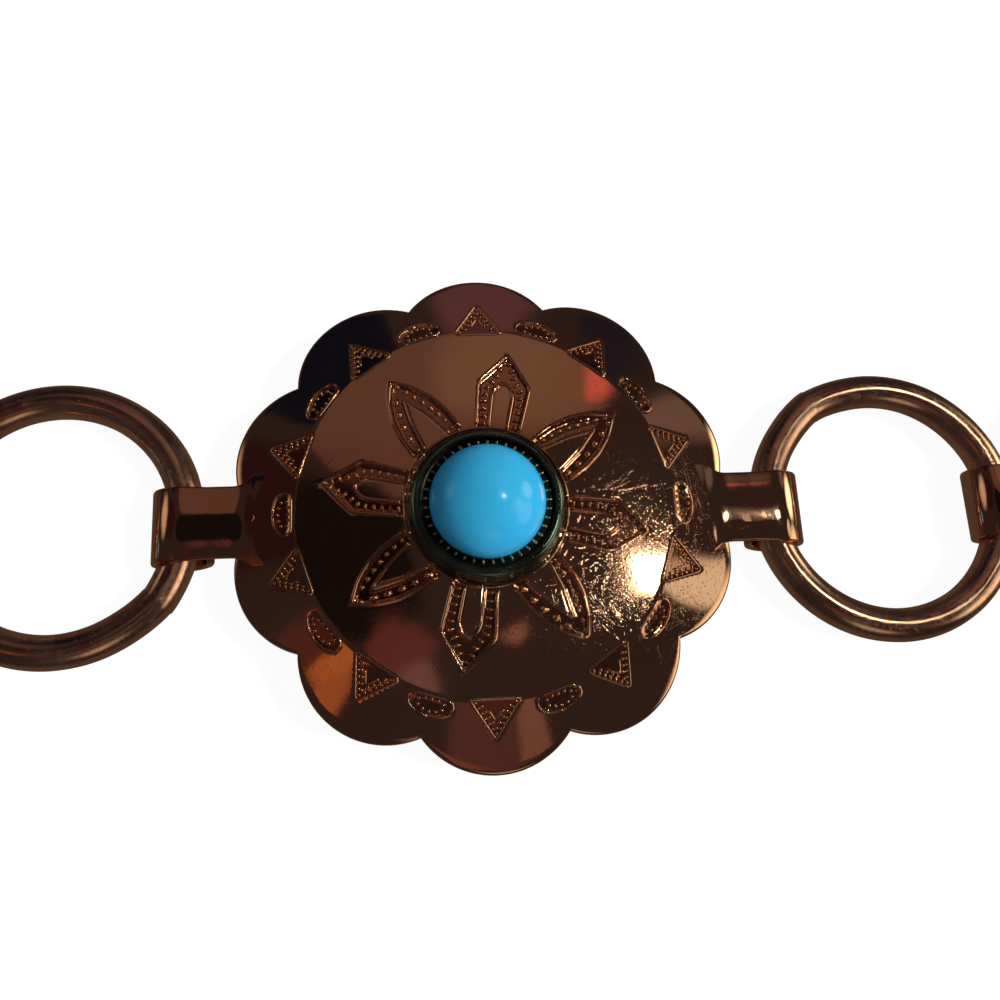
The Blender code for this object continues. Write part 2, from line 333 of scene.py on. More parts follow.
def sheet_shape():
    """The stamped plate without its tabs: points, triangles, and how deep in a stamp each point is."""
    turn = np.linspace(0, math.tau, PLATE_SPOKES, endpoint=False)
    edge = lobe_edge(turn)
    radii = [2.5 * MM, 5 * MM, 7.2 * MM]
    radii += list(np.linspace(7.6 * MM, 16.0 * MM, FLOWER_RINGS))
    radii += [16.6 * MM, 17.2 * MM, 17.8 * MM]
    radii += list(np.linspace(18.2 * MM, NOTCH_R - 0.35 * MM, RIM_RINGS))
    rows = [np.full_like(turn, r) for r in radii]
    for share in (0.35, 0.7, 1.0):
        rows.append(radii[-1] + (edge - EDGE_ROUND - radii[-1]) * share)
    top = np.array(rows)
    x = top * np.cos(turn)
    y = top * np.sin(turn)
    z, deep = face_height(x, y)
    # The edge turns over from the upper face to the underside
    for degrees in (30, 60, 90):
        out = EDGE_ROUND * math.sin(math.radians(degrees))
        down = EDGE_ROUND * (1 - math.cos(math.radians(degrees)))
        r = edge - EDGE_ROUND + out
        x = np.vstack([x, r * np.cos(turn)])
        y = np.vstack([y, r * np.sin(turn)])
        z = np.vstack([z, z[len(rows) - 1] - down - out * RIM_RISE / RIM_WIDTH])
    under = [edge, edge - 0.15 * MM, edge - 1.5 * MM]
    under += [np.full_like(turn, r * MM) for r in (20.5, 18.9, 18.5, 14.0, 10.0, 6.0, 2.5)]
    for r in under:
        low = crown(np.minimum(r, LOBE_TIP_R)) + ripple(r * np.cos(turn), r * np.sin(turn)) - SHEET
        x = np.vstack([x, r * np.cos(turn)])
        y = np.vstack([y, r * np.sin(turn)])
        z = np.vstack([z, low + (0.14 * MM if r is edge else 0)])
    points = np.stack([x.ravel(), y.ravel(), z.ravel()], 1)
    depth = np.zeros(len(points))
    depth[: deep.size] = deep.ravel()
    middle_z = crown(np.zeros(1))[0]
    tips = np.array([[0, 0, middle_z], [0, 0, middle_z - SHEET]])
    points = np.vstack([points, tips])
    depth = np.append(depth, [0, 0])
    last_row = (len(x) - 1) * PLATE_SPOKES
    faces = np.vstack(
        [
            ring_faces(len(x), PLATE_SPOKES),
            lid(0, PLATE_SPOKES, len(points) - 2, True),
            lid(last_row, PLATE_SPOKES, len(points) - 1, False),
        ]
    )
    return points, faces, depth


def eased(path, step, passes):
    """A path cut into even steps, with its corners rounded. Its ends stay where they are."""
    path = np.asarray(path, float)
    length = np.append(0, np.cumsum(np.linalg.norm(np.diff(path, axis=0), axis=1)))
    count = max(2, int(round(length[-1] / step)) + 1)
    even = np.linspace(0, length[-1], count)
    path = np.stack([np.interp(even, length, path[:, i]) for i in range(path.shape[1])], 1)
    for _ in range(passes):
        path[1:-1] = (path[:-2] + 2 * path[1:-1] + path[2:]) / 4
    return path


def closed_line(path, step, passes):
    """The same for a line that closes on itself. Its last point repeats its first."""
    path = np.asarray(path, float)
    path = eased(np.vstack([path, path[:1]]), step, 0)[:-1]
    for _ in range(passes):
        path = (np.roll(path, 1, 0) + 2 * path + np.roll(path, -1, 0)) / 4
    return np.vstack([path, path[:1]])


def both_sides(form):
    """An outline up one side of a petal and down the other, from its half widths."""
    left = np.array(form) * MM
    right = left[::-1] * (1, -1)
    return np.vstack([left, right[1:]])


def stamped(path, degrees, foot_r, lift):
    """A line drawn on a stamp, laid on the plate's face."""
    x, y = to_plate(path[:, 0], path[:, 1], degrees, foot_r)
    z, _ = face_height(x, y)
    return np.stack([x, y, z + lift], 1)


def between(outer, inner, start, stop, count=24):
    """The middle of the band between two outlines of a petal, on its left side."""
    along = np.linspace(start, stop, count) * MM
    across = (half_width(outer, along) + np.maximum(half_width(inner, along), 0)) / 2
    return np.stack([along, across], 1)


def flower_lines():
    lines = []
    for petal in range(PETAL_COUNT):
        degrees = petal_deg(petal)
        forms = (LEAF_EDGE, LEAF_OPENING) if petal % 2 else (ARROW_EDGE, ARROW_ARCH)
        for form in forms:
            path = eased(both_sides(form), LINE_STEP, 1)
            lines.append(stamped(path, degrees, PETAL_FOOT_R, PETAL_LINE_LIFT))
    turn = np.linspace(0, math.tau, 97)
    x = SEAT_R * np.cos(turn)
    y = SEAT_R * np.sin(turn)
    lines.append(np.stack([x, y, face_height(x, y)[0] + SEAT_LINE_LIFT], 1))
    return lines


def petal_rows(kind):
    """Paths for the ribs, beads and dashes in the bands of the petals."""
    rows = []
    for petal in range(PETAL_COUNT):
        degrees = petal_deg(petal)
        for side in (1, -1):
            faces_up = math.cos(math.radians(degrees)) * side > 0
            if petal % 2 == 0:
                wanted = "rib"
                path = between(ARROW_EDGE, ARROW_ARCH, 0.3, 7.2)
            else:
                wanted = "dash" if faces_up else "rope"
                path = between(LEAF_EDGE, LEAF_OPENING, 0.5, 7.2)
            if wanted != kind:
                continue
            rows.append(stamped(path * (1, side), degrees, PETAL_FOOT_R, PETAL_LINE_LIFT))
    return rows


def triangle(share):
    """The rim's triangle made smaller about its middle."""
    middle = TRIANGLE_HEIGHT * 0.36
    corners = np.array(
        [(0, TRIANGLE_HALF_WIDTH), (TRIANGLE_HEIGHT, 0), (0, -TRIANGLE_HALF_WIDTH)]
    )
    return (corners - (middle, 0)) * share + (middle, 0)


def moon(share):
    """The rim's half moon made smaller about its middle."""
    turn = np.linspace(0, math.tau, 28, endpoint=False)
    along = np.maximum(np.cos(turn), -MOON_FLAT) * MOON_HALF_WIDTH * share
    across = np.sin(turn) * MOON_HALF_LENGTH * share
    return np.stack([along, across], 1)


def stamp_lines():
    lines = []
    for lobe in range(LOBE_COUNT):
        at = LOBE_DEG * (lobe + 0.5)
        for path in (closed_line(triangle(1.0), LINE_STEP, 1), eased(triangle(0.3), 0.3 * MM, 0)):
            lines.append(stamped(path, at, TRIANGLE_FOOT_R, 0))
        lines.append(stamped(closed_line(moon(1.0), 0.36 * MM, 0), LOBE_DEG * lobe, MOON_R, 0))
    return lines


def stamp_dots():
    rows = []
    for lobe in range(LOBE_COUNT):
        at = LOBE_DEG * (lobe + 0.5)
        for share in (0.77, 0.53):
            rows.append(stamped(eased(triangle(share), DOT_STEP, 0), at, TRIANGLE_FOOT_R, DOT_LIFT))
        rows.append(stamped(closed_line(moon(0.6), DOT_STEP, 0), LOBE_DEG * lobe, MOON_R, DOT_LIFT))
    return rows


def bent_strip(path, half_widths):
    """A strip of the sheet with rounded edges, swept along (x, z) points. Its ends are closed."""
    thickness = SHEET
    rounding = STRIP_ROUND
    run = np.gradient(path, axis=0)
    run /= np.linalg.norm(run, axis=1)[:, None]
    upward = np.stack([-run[:, 1], run[:, 0]], 1)
    section = []
    for side_y, side_n, first in ((1, 1, 0), (-1, 1, 90), (-1, -1, 180), (1, -1, 270)):
        for degrees in (first, first + 45, first + 90):
            turn = math.radians(degrees)
            section.append((side_y, side_n, rounding * math.cos(turn), rounding * math.sin(turn)))
    rows = []
    ends = [(0, -0.5), (0, -0.15), *[(i, 0) for i in range(len(path))], (-1, -0.15), (-1, -0.5)]
    for i, shrink in ends:
        row = []
        for side_y, side_n, off_y, off_n in section:
            y = side_y * (half_widths[i] - rounding) + off_y
            n = side_n * (thickness / 2 - rounding) + off_n
            if shrink:
                y += side_y * shrink * rounding
                n *= 1 + shrink
            x = path[i, 0] + upward[i, 0] * n
            z = path[i, 1] + upward[i, 1] * n
            row.append((x, y, z))
        rows.append(row)
    # The eased ends reach a little past the path's own ends
    points = np.array(rows)
    reach = rounding * 0.7
    for row, i, way, share in ((0, 0, -1, 1.0), (1, 0, -1, 0.6), (-2, -1, 1, 0.6), (-1, -1, 1, 1.0)):
        points[row, :, 0] += run[i, 0] * way * reach * share
        points[row, :, 2] += run[i, 1] * way * reach * share
    steps = len(section)
    count = len(rows)
    tips = np.stack([points[0].mean(0), points[-1].mean(0)])
    flat = np.vstack([points.reshape(-1, 3), tips])
    faces = np.vstack(
        [
            ring_faces(count, steps),
            lid(0, steps, count * steps, True),
            lid((count - 1) * steps, steps, count * steps + 1, False),
        ]
    )
    return flat, faces


def roll_path(center_x, way):
    """Three quarters of the way round a ring's wire. Way 1 goes down from above it, -1 up from below."""
    path = []
    for degrees in np.linspace(90, -180, 26):
        turn = math.radians(degrees)
        x = center_x + ROLL_HALF_LENGTH * math.cos(turn)
        path.append((x, WIRE_Z + way * ROLL_HALF_HEIGHT * math.sin(turn)))
    return path


def tab_shape(side):
    """The tab at one side of the plate, from under its rim to round the ring's wire."""
    start = NOTCH_R - TAB_UNDER_PLATE
    path = [(start, NECK_Z + TAB_FOOT_LIFT), (NOTCH_R, NECK_Z), *roll_path(ROLL_R, 1)]
    path = eased(path, 0.3 * MM, 2)
    # The strip spreads into the lobes where it leaves the plate, and a little where it is rolled
    off = np.clip((NOTCH_R + TAB_FLARE_RUN - path[:, 0]) / TAB_FLARE_RUN, 0, 1)
    rolled = np.clip((path[:, 0] - ROLL_R + ROLL_HALF_LENGTH) / ROLL_HALF_LENGTH, 0, 1)
    spread = off**2 * TAB_FLARE + rolled * ROLL_FLARE
    points, faces = bent_strip(path, TAB_WIDTH / 2 + spread)
    if side < 0:
        points = points * (-1, -1, 1)
    return points - (0, TAB_OFF_LINE, 0), faces


def as_mesh(name, points, faces, material, depth=None):
    """A smooth mesh. Where a depth is given it carries the attributes that the plating reads: where it
    paints shade, and how rubbed each point is.
    """
    mesh = bpy.data.meshes.new(name)
    mesh.from_pydata(points.tolist(), [], faces.tolist())
    mesh.materials.append(material)
    if depth is not None:
        # Painted shade: the plating darkens the points that this marks
        mesh.attributes.new("painted_shade_mask", "FLOAT", "POINT").data.foreach_set("value", depth)
        off = np.hypot(points[:, 0] - RUBBED_SPOT[0], points[:, 1] - RUBBED_SPOT[1]) / RUBBED_REACH
        rubbed = RUBBED_LEAST + (1 - RUBBED_LEAST) * np.exp(-(off**2))
        mesh.attributes.new("rubbed", "FLOAT", "POINT").data.foreach_set("value", rubbed)
    mesh.shade_smooth()
    return mesh


def piece(name, mesh, nodes):
    """Shows a finished mesh in place of the solids it stands for."""
    mesh.name = name
    obj = bpy.data.objects.new(name, mesh)
    bpy.context.scene.collection.objects.link(obj)
    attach(obj, "root")
    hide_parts(*nodes)
    return obj


def new_tree(name, inputs):
    tree = bpy.data.node_groups.new(name, "GeometryNodeTree")
    tree.interface.new_socket("Geometry", in_out="INPUT", socket_type="NodeSocketGeometry")
    for label, kind in inputs:
        tree.interface.new_socket(label, in_out="INPUT", socket_type=kind)
    tree.interface.new_socket("Geometry", in_out="OUTPUT", socket_type="NodeSocketGeometry")
    start = tree.nodes.new("NodeGroupInput")
    end = tree.nodes.new("NodeGroupOutput")
    return tree, start, end


def end_tree(tree, start, end, shape):
    """Realize Instances, smooth shading and Set Material close every tree."""
    real = tree.nodes.new("GeometryNodeRealizeInstances")
    soft = tree.nodes.new("GeometryNodeSetShadeSmooth")
    paint = tree.nodes.new("GeometryNodeSetMaterial")
    tree.links.new(shape, real.inputs["Geometry"])
    tree.links.new(real.outputs["Geometry"], soft.inputs["Geometry"])
    tree.links.new(soft.outputs["Geometry"], paint.inputs["Geometry"])
    tree.links.new(start.outputs["Material"], paint.inputs["Material"])
    tree.links.new(paint.outputs["Geometry"], end.inputs["Geometry"])
    return tree


def wire_tree():
    """A round wire along each line of a mesh."""
    sizes = (("Radius", "NodeSocketFloat"), ("Sides", "NodeSocketInt"), ("Material", "NodeSocketMaterial"))
    tree, start, end = new_tree("wire_along_line", sizes)
    curve = tree.nodes.new("GeometryNodeMeshToCurve")
    round_section = tree.nodes.new("GeometryNodeCurvePrimitiveCircle")
    sweep = tree.nodes.new("GeometryNodeCurveToMesh")
    sweep.inputs["Fill Caps"].default_value = True
    tree.links.new(start.outputs["Geometry"], curve.inputs["Mesh"])
    tree.links.new(start.outputs["Sides"], round_section.inputs["Resolution"])
    tree.links.new(start.outputs["Radius"], round_section.inputs["Radius"])
    tree.links.new(curve.outputs["Curve"], sweep.inputs["Curve"])
    tree.links.new(round_section.outputs["Curve"], sweep.inputs["Profile Curve"])
    return end_tree(tree, start, end, sweep.outputs["Mesh"])


def bead_tree():
    """Small rounded beads, ribs or dashes at an even pitch along each line of a mesh."""
    sizes = (
        ("Pitch", "NodeSocketFloat"),
        ("Size", "NodeSocketVector"),
        ("Material", "NodeSocketMaterial"),
    )
    tree, start, end = new_tree("beads_along_line", sizes)
    curve = tree.nodes.new("GeometryNodeMeshToCurve")
    spots = tree.nodes.new("GeometryNodeCurveToPoints")
    spots.mode = "LENGTH"
    bead = tree.nodes.new("GeometryNodeMeshIcoSphere")
    bead.inputs["Radius"].default_value = 1
    bead.inputs["Subdivisions"].default_value = 1
    turn = tree.nodes.new("FunctionNodeAlignRotationToVector")
    turn.axis = "X"
    turn.pivot_axis = "Z"
    put = tree.nodes.new("GeometryNodeInstanceOnPoints")
    tree.links.new(start.outputs["Geometry"], curve.inputs["Mesh"])
    tree.links.new(curve.outputs["Curve"], spots.inputs["Curve"])
    tree.links.new(start.outputs["Pitch"], spots.inputs["Length"])
    tree.links.new(spots.outputs["Tangent"], turn.inputs["Vector"])
    tree.links.new(spots.outputs["Points"], put.inputs["Points"])
    tree.links.new(bead.outputs["Mesh"], put.inputs["Instance"])
    tree.links.new(turn.outputs["Rotation"], put.inputs["Rotation"])
    tree.links.new(start.outputs["Size"], put.inputs["Scale"])
    return end_tree(tree, start, end, put.outputs["Instances"])


def line_mesh(lines):
    points = np.vstack(lines)
    edges = []
    first = 0
    for line in lines:
        edges += [(first + i, first + i + 1) for i in range(len(line) - 1)]
        first += len(line)
    mesh = bpy.data.meshes.new("lines")
    mesh.from_pydata(points.tolist(), edges, [])
    return mesh


def grown(lines, tree, **values):
    """What a tree makes of some lines, as a plain mesh."""
    obj = bpy.data.objects.new("guide", line_mesh(lines))
    bpy.context.scene.collection.objects.link(obj)
    modifier = obj.modifiers.new("grow", "NODES")
    modifier.node_group = tree
    for item in tree.interface.items_tree:
        if item.in_out == "INPUT" and item.name in values:
            modifier[item.identifier] = values[item.name]
    graph = bpy.context.evaluated_depsgraph_get()
    mesh = bpy.data.meshes.new_from_object(obj.evaluated_get(graph))
    bpy.data.objects.remove(obj, do_unlink=True)
    return mesh


def arrays_of(mesh):
    points = np.empty(len(mesh.vertices) * 3)
    mesh.vertices.foreach_get("co", points)
    mesh.calc_loop_triangles()
    faces = np.empty(len(mesh.loop_triangles) * 3, np.int32)
    mesh.loop_triangles.foreach_get("vertices", faces)
    return points.reshape(-1, 3), faces.reshape(-1, 3)


def joined(shapes):
    """Several (points, faces) as one."""
    points = []
    faces = []
    first = 0
    for shape_points, shape_faces in shapes:
        points.append(shape_points)
        faces.append(shape_faces + first)
        first += len(shape_points)
    return np.vstack(points), np.vstack(faces)


def concho_mesh(wire, beads, metal):
    """One plate with its stamps and tabs, round the origin."""
    points, faces, depth = sheet_shape()
    parts = [(points, faces), tab_shape(1), tab_shape(-1)]
    thin = dict(Sides=LINE_SIDES, Material=metal)
    parts.append(arrays_of(grown(flower_lines(), wire, Radius=FLOWER_LINE_R, **thin)))
    parts.append(arrays_of(grown(stamp_lines(), wire, Radius=STAMP_LINE_R, **thin)))
    for kind, pitch, size in BEAD_KINDS:
        lines = stamp_dots() if kind == "dot" else petal_rows(kind)
        size = [side * MM for side in size]
        parts.append(arrays_of(grown(lines, beads, Pitch=pitch * MM, Size=size, Material=metal)))
    all_points, all_faces = joined(parts)
    depth = np.append(depth, np.zeros(len(all_points) - len(points)))
    return as_mesh("concho", all_points, all_faces, metal, depth)


def turned_shape(profile, steps):
    """A shape turned round Z from (radius, height) points that run down its outer side."""
    turn = np.linspace(0, math.tau, steps, endpoint=False)
    rows = [np.stack([r * np.cos(turn), r * np.sin(turn), np.full(steps, z)], 1) for r, z in profile[1:-1]]
    points = np.vstack([*rows, [(0, 0, profile[0][1])], [(0, 0, profile[-1][1])]])
    last = (len(rows) - 1) * steps
    faces = np.vstack(
        [
            ring_faces(len(rows), steps),
            lid(0, steps, len(points) - 2, True),
            lid(last, steps, len(points) - 1, False),
        ]
    )
    return points, faces


def cup_mesh(metal):
    """The setting's cup: a low wall, a rounded lip, and a slope down to the stone."""
    top = CUP_BASE_Z + CUP_HEIGHT
    lip_r = CUP_BASE_R - CUP_LEAN
    seat_r = lip_r - CUP_LIP
    wall_r = STONE_SHOWN_R + CUP_PLAY
    floor_z = CUP_BASE_Z + CUP_FLOOR
    outside = [(seat_r, top - 0.02 * MM)]
    for degrees in range(90, -1, -15):
        turn = math.radians(degrees)
        out = lip_r - CUP_ROUND + CUP_ROUND * math.cos(turn)
        outside.append((out, top - CUP_ROUND + CUP_ROUND * math.sin(turn)))
    outside.append((CUP_BASE_R - 0.05 * MM, CUP_BASE_Z + 0.3 * MM))
    outside += [(CUP_BASE_R, CUP_BASE_Z + 0.08 * MM), (CUP_BASE_R - 0.08 * MM, CUP_BASE_Z)]
    inside = [(0, floor_z), (wall_r, floor_z), (wall_r, top - 0.4 * MM)]
    inside.append((wall_r + 0.06 * MM, top - 0.16 * MM))
    profile = [*inside, *outside, (0, CUP_BASE_Z)]
    points, faces = turned_shape(profile, CUP_STEPS)
    # Painted shade: the seat round the stone is marked, to be tinted near black where it would mirror the
    # stone
    radius = np.hypot(points[:, 0], points[:, 1])
    seat = (radius < seat_r + 0.01 * MM) & (points[:, 2] > floor_z - 0.01 * MM)
    return as_mesh("cup", points, faces, metal, np.where(seat, 1.0, 0.0))


def teeth_mesh(beads, metal):
    """The toothed inner edge of the setting, pressed against the stone."""
    turn = np.linspace(0, math.tau, TOOTH_COUNT * 4 + 1)
    tooth_r = STONE_SHOWN_R + TOOTH_OUT
    level = np.full_like(turn, CUP_BASE_Z + CUP_HEIGHT - TOOTH_DOWN)
    line = np.stack([tooth_r * np.cos(turn), tooth_r * np.sin(turn), level], 1)
    pitch = math.tau * tooth_r / TOOTH_COUNT
    return grown([line], beads, Pitch=pitch, Size=TOOTH_SIZE, Material=metal)


def stone_mesh(material):
    """A round stone with a high even dome."""
    girdle_z = STONE_BASE_Z + STONE_GIRDLE
    rise = STONE_TOP_Z - girdle_z
    dome = []
    for degrees in np.linspace(90, 0, 19)[1:]:
        up = math.radians(degrees)
        dome.append((STONE_SHOWN_R * math.cos(up), girdle_z + rise * math.sin(up)))
    foot = [(STONE_SHOWN_R, STONE_BASE_Z + 0.1 * MM), (STONE_SHOWN_R - 0.1 * MM, STONE_BASE_Z)]
    profile = [(0, STONE_TOP_Z), *dome, *foot, (0, STONE_BASE_Z)]
    return as_mesh("stone", *turned_shape(profile, STONE_STEPS), material)


def ring_line(seam_deg):
    """The middle line of a ring's wire. Its two ends stayed straighter in the bending, so they meet at
    a blunt corner, a little out of line."""
    from_seam = np.linspace(-RING_OVERLAP, math.tau + RING_OVERLAP, RING_POINTS)
    turn = math.radians(seam_deg) + from_seam
    near = abs(np.minimum(from_seam, math.tau - from_seam)) / SEAM_REACH
    kink = SEAM_CORNER * np.clip(1 - near, 0, 1) ** 1.5
    kink += np.where(from_seam < math.pi, 1, -1) * SEAM_STEP * np.clip(1 - near, 0, 1)
    x = (RING_HALF_LENGTH + kink) * np.cos(turn)
    y = (RING_HALF_WIDTH + kink) * np.sin(turn)
    return np.stack([x, y, np.full_like(x, WIRE_Z)], 1)


def hook_mesh(metal):
    """The hook: one strip rolled round the first ring's wire and bent back over itself."""
    first_ring = middle_of("ring_1").x
    wire_x = first_ring - RING_HALF_LENGTH + WIRE_BOW / 2
    lying = SHEET / 2
    bend_x = -ROLL_HALF_LENGTH - HOOK_NECK - HOOK_SHANK
    bend_r = (HOOK_MOUTH + SHEET) / 2
    path = list(reversed(roll_path(0, -1)))
    for degrees in np.linspace(0, 180, 19):
        turn = math.radians(degrees)
        path.append((bend_x - bend_r * math.sin(turn), lying + bend_r * (1 - math.cos(turn))))
    path.append((bend_x + HOOK_LIP, lying + 2 * bend_r + HOOK_LIP_LIFT))
    path = eased(path, 0.35 * MM, 4) + (wire_x, 0)
    widths = np.full(len(path), TAB_WIDTH / 2)
    # The lip's end is rounded off
    end = np.clip((path[:, 0] - path[-1, 0] + HOOK_TIP) / HOOK_TIP, 0, 1)
    end[: len(path) * 3 // 4] = 0
    widths = widths - end**3 * HOOK_TIP_NARROWED
    return as_mesh("hook", *bent_strip(path, widths), metal)


# Finishes


def nodes_of(material):
    material.use_nodes = True
    tree = material.node_tree
    return tree, tree.nodes["Principled BSDF"]


def wear_group():
    """Pits, hair scratches and cloudy tone of handled plating, over Object coordinates."""
    group = bpy.data.node_groups.new("plating_wear", "ShaderNodeTree")
    inputs = (
        ("Vector", "NodeSocketVector"),
        ("Cloud Scale", "NodeSocketFloat"),
        ("Pit Scale", "NodeSocketFloat"),
        ("Scratch Scale", "NodeSocketFloat"),
    )
    for label, kind in inputs:
        group.interface.new_socket(label, in_out="INPUT", socket_type=kind)
    for label in ("Clouds", "Pits", "Scratches"):
        group.interface.new_socket(label, in_out="OUTPUT", socket_type="NodeSocketFloat")
    start = group.nodes.new("NodeGroupInput")
    end = group.nodes.new("NodeGroupOutput")
    link = group.links.new

    clouds = group.nodes.new("ShaderNodeTexNoise")
    clouds.inputs["Detail"].default_value = 4
    link(start.outputs["Vector"], clouds.inputs["Vector"])
    link(start.outputs["Cloud Scale"], clouds.inputs["Scale"])
    link(clouds.outputs["Fac"], end.inputs["Clouds"])

    pits = group.nodes.new("ShaderNodeTexVoronoi")
    link(start.outputs["Vector"], pits.inputs["Vector"])
    link(start.outputs["Pit Scale"], pits.inputs["Scale"])
    pit_edge = group.nodes.new("ShaderNodeMapRange")
    pit_edge.interpolation_type = "SMOOTHSTEP"
    pit_edge.inputs["From Min"].default_value = 0.05
    pit_edge.inputs["From Max"].default_value = 0.5
    pit_edge.inputs["To Min"].default_value = 1
    pit_edge.inputs["To Max"].default_value = 0
    link(pits.outputs["Distance"], pit_edge.inputs["Value"])
    # Only some cells hold a pit, and those go down by different depths
    chance = group.nodes.new("ShaderNodeSeparateColor")
    kept = group.nodes.new("ShaderNodeMapRange")
    kept.inputs["From Min"].default_value = 0.55
    kept.inputs["From Max"].default_value = 1
    deep = group.nodes.new("ShaderNodeMath")
    deep.operation = "MULTIPLY"
    link(pits.outputs["Color"], chance.inputs["Color"])
    link(chance.outputs["Red"], kept.inputs["Value"])
    link(kept.outputs["Result"], deep.inputs[0])
    link(pit_edge.outputs["Result"], deep.inputs[1])
    link(deep.outputs["Value"], end.inputs["Pits"])

    # Each layer of scratches is noise drawn out along one direction, kept where it crosses its middle
    total = None
    for degrees in SCRATCH_DEGS:
        aim = group.nodes.new("ShaderNodeVectorRotate")
        aim.rotation_type = "Z_AXIS"
        aim.inputs["Angle"].default_value = math.radians(degrees)
        draw_out = group.nodes.new("ShaderNodeVectorMath")
        draw_out.operation = "MULTIPLY"
        draw_out.inputs[1].default_value = (1, SCRATCH_STRETCH, 1)
        hair = group.nodes.new("ShaderNodeTexNoise")
        hair.inputs["Detail"].default_value = 1
        off = group.nodes.new("ShaderNodeMath")
        off.operation = "SUBTRACT"
        off.inputs[1].default_value = SCRATCH_LEVEL
        size = group.nodes.new("ShaderNodeMath")
        size.operation = "ABSOLUTE"
        thin = group.nodes.new("ShaderNodeMapRange")
        thin.inputs["From Min"].default_value = SCRATCH_WIDTH
        thin.inputs["From Max"].default_value = 0.0
        link(start.outputs["Vector"], aim.inputs["Vector"])
        link(aim.outputs["Vector"], draw_out.inputs[0])
        link(draw_out.outputs["Vector"], hair.inputs["Vector"])
        link(start.outputs["Scratch Scale"], hair.inputs["Scale"])
        link(hair.outputs["Fac"], off.inputs[0])
        link(off.outputs["Value"], size.inputs[0])
        link(size.outputs["Value"], thin.inputs["Value"])
        if total is None:
            total = thin.outputs["Result"]
            continue
        add = group.nodes.new("ShaderNodeMath")
        add.operation = "MAXIMUM"
        link(total, add.inputs[0])
        link(thin.outputs["Result"], add.inputs[1])
        total = add.outputs["Value"]
    link(total, end.inputs["Scratches"])
    return group


def between_colors(tree, factor, low, high):
    mix = tree.nodes.new("ShaderNodeMix")
    mix.data_type = "RGBA"
    mix.inputs["A"].default_value = (*low, 1)
    mix.inputs["B"].default_value = (*high, 1)
    tree.links.new(factor, mix.inputs["Factor"])
    return mix.outputs["Result"]


def ranged(tree, value, low, high, to_low, to_high):
    node = tree.nodes.new("ShaderNodeMapRange")
    for label, number in (("From Min", low), ("From Max", high), ("To Min", to_low), ("To Max", to_high)):
        node.inputs[label].default_value = number
    tree.links.new(value, node.inputs["Value"])
    return node.outputs["Result"]


def plating(name, wear, tones, roughness, scales, depths, painted_shade_tone=None, painted_shade_share=0.6):
    """Worn plating. Tones and roughness: low, high. Scales: clouds, pits and scratches per metre.
    Depths: how deep pits and scratches go. With a painted shade tone it reads the mesh's own attributes:
    the points that the mesh marks get that tone as painted shade, and pits and scratches follow the rubbed
    spot."""
    material = bpy.data.materials.new(name)
    tree, shader = nodes_of(material)
    shader.inputs["Metallic"].default_value = 1
    spot = tree.nodes.new("ShaderNodeTexCoord")
    worn = tree.nodes.new("ShaderNodeGroup")
    worn.node_tree = wear
    tree.links.new(spot.outputs["Object"], worn.inputs["Vector"])
    for label, number in zip(("Cloud Scale", "Pit Scale", "Scratch Scale"), scales):
        worn.inputs[label].default_value = number
    tone = between_colors(tree, ranged(tree, worn.outputs["Clouds"], 0.38, 0.62, 0, 1), *tones)
    if painted_shade_tone:
        # Painted shade: the points that the mesh marks, stamped hollows or the cup's seat, are tinted
        # darker
        deep = tree.nodes.new("ShaderNodeAttribute")
        deep.attribute_name = "painted_shade_mask"
        darker = tree.nodes.new("ShaderNodeMix")
        darker.data_type = "RGBA"
        darker.inputs["B"].default_value = (*painted_shade_tone, 1)
        share = ranged(tree, deep.outputs["Fac"], 0.2, 1.0, 0, painted_shade_share)
        tree.links.new(share, darker.inputs["Factor"])
        tree.links.new(tone, darker.inputs["A"])
        tone = darker.outputs["Result"]
    tree.links.new(tone, shader.inputs["Base Color"])
    rough = ranged(tree, worn.outputs["Clouds"], 0.3, 0.7, *roughness)
    tree.links.new(rough, shader.inputs["Roughness"])
    normal = None
    for label, depth in zip(("Pits", "Scratches"), depths):
        bump = tree.nodes.new("ShaderNodeBump")
        bump.inputs["Strength"].default_value = 1
        bump.inputs["Distance"].default_value = depth
        height = worn.outputs[label]
        if painted_shade_tone:
            rubbed = tree.nodes.new("ShaderNodeAttribute")
            rubbed.attribute_name = "rubbed"
            here = tree.nodes.new("ShaderNodeMath")
            here.operation = "MULTIPLY"
            tree.links.new(height, here.inputs[0])
            tree.links.new(rubbed.outputs["Fac"], here.inputs[1])
            height = here.outputs["Value"]
        tree.links.new(height, bump.inputs["Height"])
        if normal:
            tree.links.new(normal, bump.inputs["Normal"])
        normal = bump.outputs["Normal"]
    tree.links.new(normal, shader.inputs["Normal"])
    return material


def turquoise(wear):
    material = bpy.data.materials.new("turquoise")
    tree, shader = nodes_of(material)
    spot = tree.nodes.new("ShaderNodeTexCoord")
    worn = tree.nodes.new("ShaderNodeGroup")
    worn.node_tree = wear
    for label, number in (("Cloud Scale", 180), ("Pit Scale", 900), ("Scratch Scale", 900)):
        worn.inputs[label].default_value = number
    tree.links.new(spot.outputs["Object"], worn.inputs["Vector"])
    factor = ranged(tree, worn.outputs["Clouds"], 0.35, 0.65, 0, 1)
    tone = between_colors(tree, factor, (0.028, 0.36, 0.68), (0.038, 0.40, 0.72))
    tree.links.new(tone, shader.inputs["Base Color"])
    rough = ranged(tree, worn.outputs["Scratches"], 0, 1, 0.14, 0.2)
    tree.links.new(rough, shader.inputs["Roughness"])
    return material


# The room round the belt: what the plating mirrors


